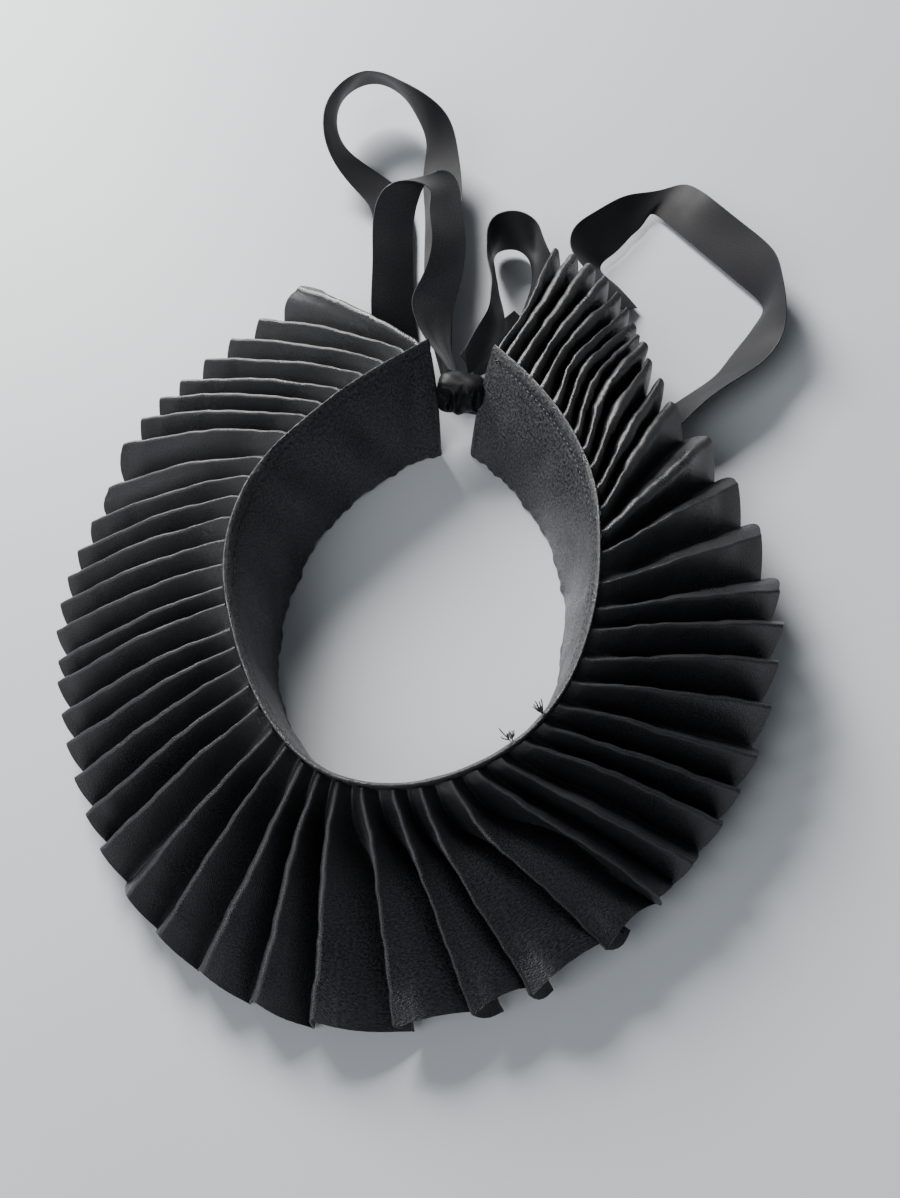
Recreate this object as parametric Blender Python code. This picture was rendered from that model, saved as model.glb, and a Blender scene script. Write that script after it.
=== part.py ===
"""Detachable ruff collar: a satin neck band with a long accordion-pleated frill
sewn into its top edge, open at the back, where two ribbons are tied in a bow.

It stands on the lower edge of its neck band. +Z is up, the front of the collar
faces -Y and the opening is at +Y. All tables are in millimetres and degrees, and
the model is written in metres.
"""

import math

import bpy
import numpy as np

# ---------------------------------------------------------------- sizes (mm)
BAND_WIDTH = 45.0  # neck band, foot to seam, along the cloth
BAND_WALL = 2.0  # two layers of satin with interfacing, turned in at the edges
SEAM_GAP = 0.3  # between two pieces sewn to each other
FRILL_WIDTH = 67.0  # seam to hem
FRILL_WALL = 1.0
FACE = 15.5  # cloth from one ridge to the next valley
FOLD_FLAT = 1.5  # least width of the flat along a fold
ROOT_DEPTH = 2.6  # how deep a pleat stands where it is stitched flat
ROOT_DROP = 1.6  # the frill's seam line lies this far below the band's top edge
FLOOR_CLEAR = 0.8  # lowest point of the frill above the surface
BOW_RISE = 2.5  # a pleat arches this much between seam and hem
RIBBON_WIDTH = 20.0
RIBBON_WALL = 1.0
KNOT_SIZE = (15.2, 14.0, 17.0)
KNOT_AT = (3.6, 82.0, 20.0)
SHIFT = (-2.8, -60.2)  # from the middle of the neck to the middle of the whole

# Neck edge, from the left back end by the front to the right back end:
# where the top edge and the foot of the band stand, in plan.
RING_COLUMNS = ("top_x", "top_y", "foot_x", "foot_y")
RING = (
    (-10, 90, -2, 68),
    (-20, 78, -10, 63),
    (-33, 62, -20, 54),
    (-44, 46, -30, 41),
    (-54, 29, -38, 27),
    (-60, 11, -43, 11),
    (-61, -7, -45, -6),
    (-58, -25, -45, -23),
    (-51, -43, -42, -40),
    (-40, -63, -34, -58),
    (-25, -81, -21, -74),
    (-7, -91, -5, -83),
    (12, -91, 10, -84),
    (31, -83, 28, -77),
    (46, -70, 42, -65),
    (56, -53, 51, -50),
    (61, -35, 55, -33),
    (63, -15, 56, -15),
    (62, 5, 55, 4),
    (59, 25, 50, 21),
    (52, 44, 41, 40),
    (42, 61, 30, 53),
    (29, 77, 21, 62),
    (15, 91, 10, 69),
)

# Pleats, a row for each ridge in the same order: the step along the seam from
# the ridge before, the plan direction it points in, and its height at the hem.
FOLD_COLUMNS = ("step", "heading", "tip")
FOLDS = (
    (3, 148, 25),
    (7, 162, 25),
    (10, 167, 26),
    (10, 171, 26),
    (11, 173, 25),
    (9, 175, 25),
    (8, 178, 24),
    (10, 180, 21),
    (13, 183, 13),
    (9, 189, 12),
    (9, 193, 12),
    (9, 195, 12),
    (10, 196, 12),
    (10, 197, 12),
    (9, 199, 11),
    (7, 201, 12),
    (10, 203, 12),
    (7, 207, 12),
    (7, 213, 12),
    (8, 218, 12),
    (8, 223, 12),
    (9, 231, 12),
    (7, 240, 12),
    (7, 250, 12),
    (6, 262, 12),
    (6, 273, 12),
    (7, 289, 12),
    (9, 302, 12),
    (8, 312, 12),
    (9, 328, 14),
    (8, 342, 17),
    (8, 348, 19),
    (9, 354, 20),
    (8, 359, 20),
    (8, 363, 22),
    (9, 370, 25),
    (9, 376, 27),
    (11, 379, 28),
    (8, 384, 28),
    (10, 396, 28),
    (12, 407, 28),
    (8, 419, 31),
    (10, 431, 30),
    (9, 434, 31),
    (9, 436, 31),
    (8, 435, 32),
    (8, 434, 29),
    (9, 432, 28),
    (7, 431, 30),
    (9, 430, 31),
    (7, 431, 33),
    (8, 432, 33),
    (7, 434, 32),
    (5, 438, 30),
)
STATIONS = (0.0, 0.1, 0.26, 0.5, 0.76, 1.0)  # shares of the frill's width

# Ribbons, a row for each bend: where the lower edge runs, the plan direction
# that the ribbon leans towards, its lean from upright, and its width there.
RIBBON_COLUMNS = ("x", "y", "z", "towards", "lean", "width")
LOOP_LEFT = (
    (-12, 103, 7, 205, 80, 13),
    (-18, 115, 8, 208, 78, 18),
    (-23, 129, 15, 213, 68, 20),
    (-26, 144, 26, 217, 62, 20),
    (-28, 157, 33, 218, 64, 20),
    (-27, 168, 40, 219, 70, 20),
    (-22, 179, 44, 228, 76, 20),
    (-15, 183, 39, 241, 68, 20),
    (-10, 171, 35, 231, 61, 20),
    (-6, 156, 30, 228, 61, 20),
    (-5, 141, 25, 218, 70, 20),
    (-6, 128, 21, 211, 66, 20),
    (-6, 115, 18, 225, 63, 14),
    (-2, 101, 17, 240, 43, 11),
    (1, 94, 17, 240, 35, 10),
)
LOOP_FAR = (
    (-6, 98, 5, 8, 20, 8),
    (-12, 115, 4, 6, 32, 12),
    (-18, 131, 5, 8, 38, 17),
    (-23, 152, 4, 10, 48, 19),
    (-27, 176, 4, 10, 53, 20),
    (-31, 200, 4, 10, 56, 20),
    (-36, 226, 6, 10, 50, 20),
    (-37, 240, 8, 12, 26, 20),
    (-40, 249, 10, 20, 0, 20),
    (-46, 259, 12, 35, -20, 20),
    (-55, 269, 14, 58, -34, 20),
    (-68, 273, 15, 92, -40, 20),
    (-77, 266, 15, 128, -34, 20),
    (-81, 256, 14, 158, -24, 20),
    (-81, 247, 12, 185, -10, 20),
    (-78, 239, 9, 212, 14, 20),
    (-71, 232, 6, 234, 46, 20),
    (-58, 224, 4, 238, 70, 20),
    (-45, 214, 3, 226, 76, 20),
    (-36, 197, 2, 206, 68, 20),
    (-31, 172, 2, 195, 60, 20),
    (-26, 147, 2, 190, 66, 20),
    (-20, 122, 2, 190, 78, 18),
    (-11, 103, 2, 190, 78, 12),
)
LOOP_RIGHT = (
    (5, 92, 20, 120, 25, 10),
    (10, 99, 22, 140, 20, 14),
    (14, 109, 22, 165, 16, 17),
    (15, 118, 19.5, 175, 17, 19),
    (14, 131, 15, 176, 17, 20),
    (10, 147, 10.5, 176, 17, 20),
    (7, 160, 7, 174, 14, 20),
    (4, 173, 3.5, 160, 9, 20),
    (5, 182, 2.2, 120, 5, 20),
    (12, 185, 2, 82, 5, 20),
    (18, 181, 2, 35, 7, 20),
    (21, 173, 2.5, 10, 9, 20),
    (22, 163, 2.5, 6, 20, 20),
    (21, 154, 2, 5, 44, 20),
    (20, 147, 2, 5, 58, 20),
)
STRETCH = (
    (8, 95, 16, 150, 50, 11),
    (12, 102, 12.5, 150, 53, 14),
    (18, 111, 7, 150, 58, 17),
    (26, 121, 3, 150, 60, 19),
    (33, 131, 1.5, 150, 66, 20),
)
TAIL = (
    (15, 98, 3, -75, 60, 10),
    (24, 99, 1.6, -85, 72, 16),
    (38, 94, 1.2, -88, 80, 20),
    (56, 89, 1.2, -78, 80, 20),
    (70, 92, 1.2, -58, 66, 20),
    (82, 101, 2, -44, 48, 20),
    (93, 113, 2, -40, 43, 20),
    (103, 125, 2, -35, 46, 20),
    (108, 135, 2, -30, 52, 20),
    (114, 147, 2, -24, 46, 20),
    (119, 158, 2, -14, 22, 20),
    (121, 166, 2, 8, 10, 20),
    (117, 173, 2, 32, 20, 20),
    (111, 179, 2, 42, 36, 20),
    (98, 192, 2, 45, 45, 20),
    (84, 206, 2, 46, 50, 20),
    (75, 215, 2, 43, 62, 20),
    (70, 218, 2, 50, 72, 20),
    (67, 212, 2, 70, 78, 20),
    (65, 207, 2, 86, 76, 20),
    (62, 202, 2, 100, 68, 20),
    (59, 196, 2, 114, 60, 20),
    (55, 189, 2, 132, 55, 20),
    (51, 183, 2, 155, 50, 20),
    (51, 177, 2, 190, 46, 20),
    (57, 171, 2, 215, 48, 20),
    (68, 158, 2, 222, 62, 20),
)


def smooth(x, low, high):
    x = min(1.0, max(0.0, (x - low) / (high - low)))
    return x * x * (3 - 2 * x)


def through(points, count):
    """A smooth curve through the points, as count points evenly spaced along it."""
    p = np.array(points, float)
    chord = np.concatenate([[0], np.cumsum(np.linalg.norm(np.diff(p, axis=0), axis=1))])
    n = len(p)
    h = np.diff(chord)
    a, b = np.eye(n), np.zeros_like(p)
    for i in range(1, n - 1):
        a[i, i - 1 : i + 2] = h[i - 1], 2 * (h[i - 1] + h[i]), h[i]
        b[i] = 6 * ((p[i + 1] - p[i]) / h[i] - (p[i] - p[i - 1]) / h[i - 1])
    m = np.linalg.solve(a, b)
    fine = []
    for i in range(n - 1):
        for k in range(24):
            t = h[i] * k / 24
            fine.append(
                p[i]
                + t * ((p[i + 1] - p[i]) / h[i] - h[i] * (2 * m[i] + m[i + 1]) / 6)
                + t * t * m[i] / 2
                + t**3 * (m[i + 1] - m[i]) / (6 * h[i])
            )
    fine = np.array(fine + [p[-1]])
    along = np.concatenate(
        [[0], np.cumsum(np.linalg.norm(np.diff(fine[:, :3], axis=0), axis=1))]
    )
    at = np.linspace(0, along[-1], count)
    return np.stack([np.interp(at, along, c) for c in fine.T], 1)


def unit(v):
    return v / np.maximum(np.linalg.norm(v, axis=-1, keepdims=True), 1e-12)


# ---------------------------------------------------------------- neck edge
RING_FINE = through(RING, 600)
TOP, FOOT = RING_FINE[:, :2], RING_FINE[:, 2:]
ALONG = np.concatenate([[0], np.cumsum(np.linalg.norm(np.diff(TOP, axis=0), axis=1))])
HEIGHT = np.sqrt(BAND_WIDTH**2 - np.minimum(((TOP - FOOT) ** 2).sum(1), 22.0**2))
HEIGHT = np.convolve(np.pad(HEIGHT, 20, mode="edge"), np.ones(41) / 41, "valid")
TRAVEL = unit(np.gradient(TOP, axis=0))
OUTWARD = np.stack([TRAVEL[:, 1], -TRAVEL[:, 0]], 1)


def on_ring(u, values):
    values = values if values.ndim == 2 else values[:, None]
    return np.array([np.interp(u, ALONG, c) for c in values.T])


# ---------------------------------------------------------------- meshes
def make(name, verts, faces, colour, roughness, flat=False):
    mesh = bpy.data.meshes.new(name)
    verts = (np.array(verts) + [SHIFT[0], SHIFT[1], 0]) * 0.001
    mesh.from_pydata(verts.tolist(), [], faces)
    mesh.update()
    material = bpy.data.materials.new(name)
    material.use_nodes = True
    shader = material.node_tree.nodes["Principled BSDF"]
    shader.inputs["Base Color"].default_value = (*colour, 1)
    shader.inputs["Roughness"].default_value = roughness
    shader.inputs["Metallic"].default_value = 0
    mesh.materials.append(material)
    obj = bpy.data.objects.new(name, mesh)
    bpy.context.scene.collection.objects.link(obj)
    if not flat:
        mesh.shade_smooth()
        mesh.set_sharp_from_angle(angle=math.radians(45))
    return obj


def wall(rows, thickness):
    """A closed wall round a grid of points, rows by columns, offset both ways."""
    p = np.array(rows, float)
    r, c = p.shape[:2]
    across, down = p[:, 1:] - p[:, :-1], p[1:] - p[:-1]
    face = unit(
        np.cross(
            across[:-1] + across[1:],
            down[:, :-1] + down[:, 1:],
        )
    )
    normal = np.zeros_like(p)
    normal[:-1, :-1] += face
    normal[1:, :-1] += face
    normal[:-1, 1:] += face
    normal[1:, 1:] += face
    normal = unit(normal)
    # the offset keeps the wall's thickness across each fold
    lean = np.zeros((r, c))
    count = np.zeros((r, c))
    for i, j in ((0, 0), (1, 0), (0, 1), (1, 1)):
        part = normal[i : r - 1 + i, j : c - 1 + j]
        lean[i : r - 1 + i, j : c - 1 + j] += (part * face).sum(-1)
        count[i : r - 1 + i, j : c - 1 + j] += 1
    offset = normal * (thickness / 2 / np.maximum(lean / count, 0.7))[..., None]
    verts = np.concatenate([(p + offset).reshape(-1, 3), (p - offset).reshape(-1, 3)])
    n = r * c
    faces = []
    for i in range(r - 1):
        for j in range(c - 1):
            q = (i * c + j, (i + 1) * c + j, (i + 1) * c + j + 1, i * c + j + 1)
            faces.append((q[0], q[3], q[2], q[1]))
            faces.append(tuple(v + n for v in q))
    rim = (
        [j for j in range(c)]
        + [i * c + c - 1 for i in range(1, r)]
        + [(r - 1) * c + j for j in range(c - 2, -1, -1)]
        + [i * c for i in range(r - 2, 0, -1)]
    )
    for a, b in zip(rim, rim[1:] + rim[:1]):
        faces.append((b, a, a + n, b + n))
    return verts, faces


def triangles(faces):
    out = []
    for f in faces:
        out += [(f[0], f[k], f[k + 1]) for k in range(1, len(f) - 1)]
    return out


# ---------------------------------------------------------------- neck band
def neck_band():
    """A leaning wall on a flat foot. Its section is a slight outward curve."""
    count, levels = 62, (0.0, 0.34, 0.68, 1.0)
    section = []
    for u in np.linspace(0, ALONG[-1], count):
        top, foot = on_ring(u, TOP), on_ring(u, FOOT)
        high = on_ring(u, HEIGHT)[0]
        side = unit(on_ring(u, OUTWARD))
        ring = []
        for s in (1, -1):
            for k in levels[:: 1 if s == 1 else -1]:
                belly = -1.6 * math.sin(math.pi * k)
                at = foot + (top - foot) * k + side * (belly + s * BAND_WALL / 2)
                ring.append((at[0], at[1], high * k))
        section.append(ring)
    m = len(section[0])
    verts = [v for ring in section for v in ring]
    faces = []
    for i in range(count - 1):
        for j in range(m):
            k = (j + 1) % m
            faces.append((i * m + j, i * m + k, (i + 1) * m + k, (i + 1) * m + j))
    half = len(levels)
    for i in (0, count - 1):
        for j in range(half - 1):
            q = (i * m + j, i * m + j + 1, i * m + m - 2 - j, i * m + m - 1 - j)
            faces.append(q[::-1] if i == 0 else q)
    faces = [f[::-1] for f in faces]
    return make("neck_band", verts, triangles(faces), (0.012, 0.012, 0.014), 0.55)


# ---------------------------------------------------------------- frill
def ridges():
    """The ridge lines, fold by fold, as points at each station."""
    lines, u = [], 0.0
    for step, heading, tip in FOLDS:
        u += step
        top, side = on_ring(u, TOP), unit(on_ring(u, OUTWARD))
        high = on_ring(u, HEIGHT)[0] - ROOT_DROP
        root = np.append(
            top + side * (BAND_WALL / 2 + SEAM_GAP + FRILL_WALL / 2 + 0.3), high
        )
        run = math.sqrt(FRILL_WIDTH**2 - (high - tip) ** 2)
        turn = math.radians(heading)
        hem = root + [run * math.cos(turn), run * math.sin(turn), tip - high]
        lines.append(
            [
                root + (hem - root) * t + [0, 0, BOW_RISE * math.sin(math.pi * t)]
                for t in STATIONS
            ]
        )
    return np.array(lines)


def hangs(lines, slopes):
    """Which way each valley drops: square to its ridges, and much as its neighbours do."""
    between = lines[1:] - lines[:-1]
    normal = unit(np.cross((slopes[1:] + slopes[:-1]) / 2, between))
    normal = np.where(normal[..., 2:] < 0, -normal, normal)
    padded = np.pad(normal, ((3, 3), (0, 0), (0, 0)), mode="edge")
    return unit(sum(padded[k : k + len(normal)] for k in range(7)))


def valley(a, b, slope, middle, normal):
    """The valley line between ridge lines a and b, as deep as the cloth allows."""
    out = []
    for k, t in enumerate(STATIONS):
        between = b[k] - a[k]
        pitch = np.linalg.norm(between - unit(slope[k]) * (between @ unit(slope[k])))
        full = math.sqrt(max(FACE**2 - (pitch / 2) ** 2, 25.0))
        depth = ROOT_DEPTH + (full - ROOT_DEPTH) * smooth(t, -0.06, 0.42)
        room = (middle[k][2] - FRILL_WALL / 2 - FLOOR_CLEAR) / max(normal[k][2], 0.5)
        out.append(middle[k] - normal[k] * min(depth, max(room, 2.0)))
    return np.array(out)


def frill():
    """Accordion pleats: two points on each ridge and two in each valley."""
    lines = ridges()
    slopes = np.gradient(lines, axis=1)
    first = 1.5 * lines[0] - 0.5 * lines[1]
    last = 1.5 * lines[-1] - 0.5 * lines[-2]
    normals = hangs(lines, slopes)
    valleys = [valley(2 * lines[0] - lines[1], lines[0], slopes[0], first, normals[0])]
    for i in range(len(lines) - 1):
        valleys.append(
            valley(
                lines[i],
                lines[i + 1],
                (slopes[i] + slopes[i + 1]) / 2,
                (lines[i] + lines[i + 1]) / 2,
                normals[i],
            )
        )
    beyond = 2 * lines[-1] - lines[-2]
    valleys.append(valley(lines[-1], beyond, slopes[-1], last, normals[-1]))
    chain = [valleys[0]]
    for line, after in zip(lines, valleys[1:]):
        chain += [line, after]
    chain = np.array(chain)
    columns = []
    for i, line in enumerate(chain):
        if i == 0 or i == len(chain) - 1:
            columns.append(line)
            continue
        # the fold is flattened across its line by a share of the pitch
        reach = chain[min(i + 2, len(chain) - 1)] - chain[max(i - 2, 0)]
        along = unit(np.gradient(line, axis=0))
        across = reach - along * (reach * along).sum(-1, keepdims=True)
        pitch = np.linalg.norm(across, axis=-1, keepdims=True)
        half = np.maximum(pitch * 0.05, FOLD_FLAT / 2)
        columns.append(line - across / pitch * half)
        columns.append(line + across / pitch * half)
    grid = np.array(columns).transpose(1, 0, 2)
    verts, faces = wall(grid, FRILL_WALL)
    return make("pleated_frill", verts, triangles(faces), (0.010, 0.010, 0.012), 0.42)


# ---------------------------------------------------------------- ribbon ties
def ribbon(name, rows, count):
    """A flat strip: both its edges run smoothly through the rows of its table."""
    table = np.array(rows, float)
    lower, width = table[:, :3], table[:, 5:6]
    turn, lean = np.radians(table[:, 3]), np.radians(table[:, 4])
    up = np.stack(
        [np.cos(turn) * np.sin(lean), np.sin(turn) * np.sin(lean), np.cos(lean)], 1
    )
    edges = through(np.hstack([lower, lower + up * width]), count)
    verts, faces = wall(edges.reshape(count, 2, 3), RIBBON_WALL)
    return make(name, verts, triangles(faces), (0.016, 0.016, 0.018), 0.3)


def knot():
    """Ribbon wrapped round itself: a rounded block with slanting wraps."""
    around, rings = 16, 9
    verts, faces = [], []
    for i in range(1, rings):
        v = math.pi * i / rings
        for j in range(around):
            w = 2 * math.pi * j / around
            wrap = 1 + 0.05 * math.sin(3 * v + 2 * w)
            radius = math.sin(v) ** 0.75 * wrap
            x = -math.copysign(abs(math.cos(v)) ** 0.85, math.cos(v))
            at = (x, radius * math.cos(w), radius * math.sin(w))
            verts.append([c + s / 2 * k for c, s, k in zip(KNOT_AT, KNOT_SIZE, at)])
    for i in range(rings - 2):
        for j in range(around):
            k = (j + 1) % around
            faces.append(
                (i * around + j, i * around + k, (i + 1) * around + k, (i + 1) * around + j)
            )
    faces.append(tuple(reversed(range(around))))
    faces.append(tuple((rings - 2) * around + j for j in range(around)))
    return make("tie_knot", verts, triangles(faces), (0.014, 0.014, 0.016), 0.35)


def main():
    for obj in list(bpy.data.objects):
        bpy.data.objects.remove(obj)
    neck_band()
    frill()
    ribbon("bow_loop_left", LOOP_LEFT, 44)
    ribbon("tie_loop_far", LOOP_FAR, 60)
    ribbon("bow_loop_right", LOOP_RIGHT, 44)
    ribbon("tie_stretch", STRETCH, 12)
    ribbon("tie_tail", TAIL, 72)
    knot()


main()
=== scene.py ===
"""Looks for a detachable ruff collar in black satin, tied with ribbon at the back.

Tables are in millimetres and degrees, with the middle of the neck as the origin;
every mesh is moved by SHIFT and written in metres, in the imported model's frame.
"""

import math

import bpy
import numpy as np
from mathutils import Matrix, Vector


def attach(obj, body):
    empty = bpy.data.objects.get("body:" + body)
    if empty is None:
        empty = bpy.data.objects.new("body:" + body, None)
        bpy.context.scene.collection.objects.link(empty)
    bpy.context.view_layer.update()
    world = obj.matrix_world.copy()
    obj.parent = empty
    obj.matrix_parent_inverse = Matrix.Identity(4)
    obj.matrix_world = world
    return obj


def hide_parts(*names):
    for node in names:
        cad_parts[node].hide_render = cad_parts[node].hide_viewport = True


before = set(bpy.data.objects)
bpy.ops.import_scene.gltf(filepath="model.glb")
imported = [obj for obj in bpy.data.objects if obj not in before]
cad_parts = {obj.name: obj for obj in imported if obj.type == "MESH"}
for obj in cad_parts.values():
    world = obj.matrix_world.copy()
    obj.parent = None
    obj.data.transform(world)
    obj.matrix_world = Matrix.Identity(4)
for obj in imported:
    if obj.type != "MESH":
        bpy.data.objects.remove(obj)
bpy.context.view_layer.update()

# ------------------------------------------------------------------ sizes (mm)
BAND_WIDTH = 45.0
BAND_WALL = 2.0
SEAM_GAP = 0.3
FRILL_WIDTH = 67.0
FRILL_WALL = 1.0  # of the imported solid, which fixes where the seam line lies
CLOTH = 0.42  # the satin of the frill, hemmed
FACE = 15.5
ROOT_DEPTH = 2.6
ROOT_DROP = 1.6
ROOT_FOLD = 4.4  # how deep the pleats are where they are sewn in
FLOOR_CLEAR = 0.8
BOW_RISE = 2.5
RIBBON = 0.4
KNOT_SIZE = (15.2, 14.0, 17.0)
KNOT_AT = (3.6, 82.0, 20.0)
SHIFT = (-2.8, -60.2)

RING_COLUMNS = ("top_x", "top_y", "foot_x", "foot_y")
RING = (
    (-10, 90, -2, 68),
    (-20, 78, -10, 63),
    (-33, 62, -20, 54),
    (-44, 46, -30, 41),
    (-54, 29, -38, 27),
    (-60, 11, -43, 11),
    (-61, -7, -45, -6),
    (-58, -25, -45, -23),
    (-51, -43, -42, -40),
    (-40, -63, -34, -58),
    (-25, -81, -21, -74),
    (-7, -91, -5, -83),
    (12, -91, 10, -84),
    (31, -83, 28, -77),
    (46, -70, 42, -65),
    (56, -53, 51, -50),
    (61, -35, 55, -33),
    (63, -15, 56, -15),
    (62, 5, 55, 4),
    (59, 25, 50, 21),
    (52, 44, 41, 40),
    (42, 61, 30, 53),
    (29, 77, 21, 62),
    (15, 91, 10, 69),
)

# A row for each ridge: step along the seam, heading in plan, height at the hem,
# how far it sways sideways a quarter, half and three quarters of the way out, how
# far its own near side is folded under it (0 upright, 1 laid over), how thick its
# rolled fold is, and how much the face beyond it fans out at the hem and billows.
FOLD_COLUMNS = (
    "step", "heading", "tip", "quarter", "half", "three_quarters",
    "laid_over", "roll", "fan", "billow",
)
FOLDS = (
    (3, 148, 25, 0.4, 0.6, 0.3, 0, 3, 1.5, 1.6),
    (7, 162, 25, 0.4, 0.5, 0.1, 0, 0.9, 0.3, 0.4),
    (10, 167, 26, 0.5, 0.4, -0.1, 0, 0.9, 0.3, 0.4),
    (10, 171, 26, 0.3, 0.6, 0.2, 0, 0.9, 0.3, 0.4),
    (11, 173, 25, 0.5, 0.3, 0.2, 0, 0.9, 0.3, 0.4),
    (9, 175, 25, 0.6, 0.8, 0.3, 0, 0.9, 0.3, 0.4),
    (8, 178, 24, 0.2, 0.9, 0.4, 0, 0.9, 0.3, 0.4),
    (10, 180, 21, 0.9, 1, 0.4, 0.1, 0.9, 1.4, 1),
    (13, 183, 13, 1, 1.4, 0.9, 0.1, 0.9, 1.8, 1.6),
    (9, 189, 12, 0.9, 1, 0.4, 0, 0.8, 0.8, 0.4),
    (9, 193, 12, 0.9, 1.1, 0.6, 0, 0.8, 0.3, 0.4),
    (9, 195, 12, 0.2, 0.9, 0.5, 0, 0.8, 0.3, 0.4),
    (10, 196, 12, 0.7, 0.8, 0.3, 0, 0.8, 0.3, 0.4),
    (10, 197, 12, 0.8, 0.9, 0.4, 0, 0.8, 0.3, 0.4),
    (9, 199, 11, 0.3, 0.6, 0.2, 0, 0.8, 0.3, 0.4),
    (7, 201, 12, 0.9, 0.9, 0.4, 0, 0.8, 0.3, 0.4),
    (10, 203, 12, 1, 0.9, 0.3, 0, 0.8, 0.3, 0.4),
    (7, 207, 12, 0.9, 0.4, -0.2, 0, 0.8, 0.3, 0.4),
    (7, 213, 12, 0.8, 0.6, 0.1, 0, 0.8, 0.3, 0.4),
    (8, 218, 12, 0.6, 0.3, 0, 0, 0.8, 0.3, 0.4),
    (8, 223, 12, 0.6, 0.6, 0.2, 0, 0.8, 0.3, 0.4),
    (9, 231, 12, 0.4, 0.5, 0.3, 0, 0.8, 0.3, 0.4),
    (7, 240, 12, 0.7, 0.2, -0.1, 0.25, 0.8, 0.3, 0.4),
    (7, 250, 12, -0.4, -1, -0.6, 0.45, 1.3, 0.3, 1.2),
    (6, 262, 12, 1, 0.2, -0.4, 0.6, 1.3, 0.8, 1.4),
    (6, 273, 12, 1.2, 0.6, -0.2, 0.9, 1.3, 1, 1.6),
    (7, 289, 12, -1.1, -0.8, -0.4, 1.45, 1.3, -2.6, 2.8),
    (9, 302, 12, 0.4, 0.3, 0, 1.85, 1.3, -3.6, 3.4),
    (8, 312, 12, 2.3, 2.1, 0.8, 1.95, 1.3, -4, 3.6),
    (9, 328, 14, 3.3, 2.4, 0.5, 1.85, 1.3, -3.6, 3.4),
    (8, 342, 17, 0.8, 0.4, 0.2, 1.1, 0.8, 0.3, 1.6),
    (8, 348, 19, 0.8, 1, 0.6, 0.4, 0.8, 0.3, 0.8),
    (9, 354, 20, -0.8, -0.7, -0.4, 0.2, 0.8, 0.3, 0.4),
    (8, 359, 20, 0.3, 0.6, 0.7, 0, 0.8, 0.3, 0.4),
    (8, 363, 22, -0.5, 1, 0.9, 0, 0.8, 1.2, 0.4),
    (9, 370, 25, -0.2, 0.3, 0.1, 0, 0.8, 1.4, 0.4),
    (9, 376, 27, 0.3, -0.4, -0.2, 0, 0.8, 1.8, 1),
    (11, 379, 28, -0.2, 0.1, 0.2, 0, 0.8, 2.6, 1.6),
    (8, 384, 28, 0.4, 0.5, 0.3, 0, 0.8, 2.8, 1.6),
    (10, 396, 28, 0.8, 1.2, 0.8, 0, 0.8, 2.8, 1.4),
    (12, 407, 28, 0.2, 0.6, 0.6, 0, 0.8, 2, 1),
    (8, 419, 31, 0.6, 0.9, 0.8, 0, 2.6, 0.3, 0.4),
    (10, 431, 30, -0.4, -0.3, -0.2, 0, 2.6, 0.3, 0.4),
    (9, 434, 31, -0.3, -0.2, 0.1, 0, 2.6, 0.3, 0.4),
    (9, 436, 31, -1, -1.2, -0.6, 0, 2.6, 0.3, 0.4),
    (8, 435, 32, -2.8, -3.8, -2.6, 0, 2.6, 0.3, 0.4),
    (8, 434, 29, -3.4, -4.8, -2.8, 0, 2.6, 0.3, 0.4),
    (9, 432, 28, -3.2, -4.2, -2, 0, 2.6, 0.3, 0.4),
    (7, 431, 30, -3.5, -3.4, -0.8, 0, 2.6, 0.3, 0.4),
    (9, 430, 31, -2.4, -1.8, -0.4, 0, 2.6, 0.3, 0.4),
    (7, 431, 33, -1.2, -0.2, 0, 0, 2.6, 0.3, 0.4),
    (8, 432, 33, 0.2, 1, 0.3, 0, 2.6, 0.3, 0.4),
    (7, 434, 32, 0.8, 1.8, 0.6, 0, 2.6, 0.3, 0.4),
    (5, 438, 30, 2.4, 2.6, 1, 0, 2.6, 0.3, 0.4),
)

RIBBON_COLUMNS = ("x", "y", "z", "towards", "lean", "width")
LOOP_LEFT = (
    (-12, 103, 7, 205, 80, 13),
    (-18, 115, 8, 208, 78, 18),
    (-23, 129, 15, 213, 68, 20),
    (-26, 144, 26, 217, 62, 20),
    (-28, 157, 33, 218, 64, 20),
    (-27, 168, 40, 219, 70, 20),
    (-22, 179, 44, 228, 76, 20),
    (-15, 183, 39, 241, 68, 20),
    (-10, 171, 35, 231, 61, 20),
    (-6, 156, 30, 228, 61, 20),
    (-5, 141, 25, 218, 70, 20),
    (-6, 128, 21, 211, 66, 20),
    (-6, 115, 18, 225, 63, 14),
    (-2, 101, 17, 240, 43, 11),
    (1, 94, 17, 240, 35, 10),
)
LOOP_FAR = (
    (-6, 98, 5, 8, 20, 8),
    (-12, 115, 4, 6, 32, 12),
    (-18, 131, 5, 8, 38, 17),
    (-23, 152, 4, 10, 48, 19),
    (-27, 176, 4, 10, 53, 20),
    (-31, 200, 4, 10, 56, 20),
    (-36, 226, 6, 10, 50, 20),
    (-37, 240, 8, 12, 26, 20),
    (-40, 249, 10, 20, 0, 20),
    (-46, 259, 12, 35, -20, 20),
    (-55, 269, 14, 58, -34, 20),
    (-68, 273, 15, 92, -40, 20),
    (-77, 266, 15, 128, -34, 20),
    (-81, 256, 14, 158, -24, 20),
    (-81, 247, 12, 185, -10, 20),
    (-78, 239, 9, 212, 14, 20),
    (-71, 232, 6, 234, 46, 20),
    (-58, 224, 4, 238, 70, 20),
    (-45, 214, 3, 226, 76, 20),
    (-36, 197, 2, 206, 68, 20),
    (-31, 172, 2, 195, 60, 20),
    (-26, 147, 2, 190, 66, 20),
    (-20, 122, 2, 190, 78, 18),
    (-11, 103, 2, 190, 78, 12),
)
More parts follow.
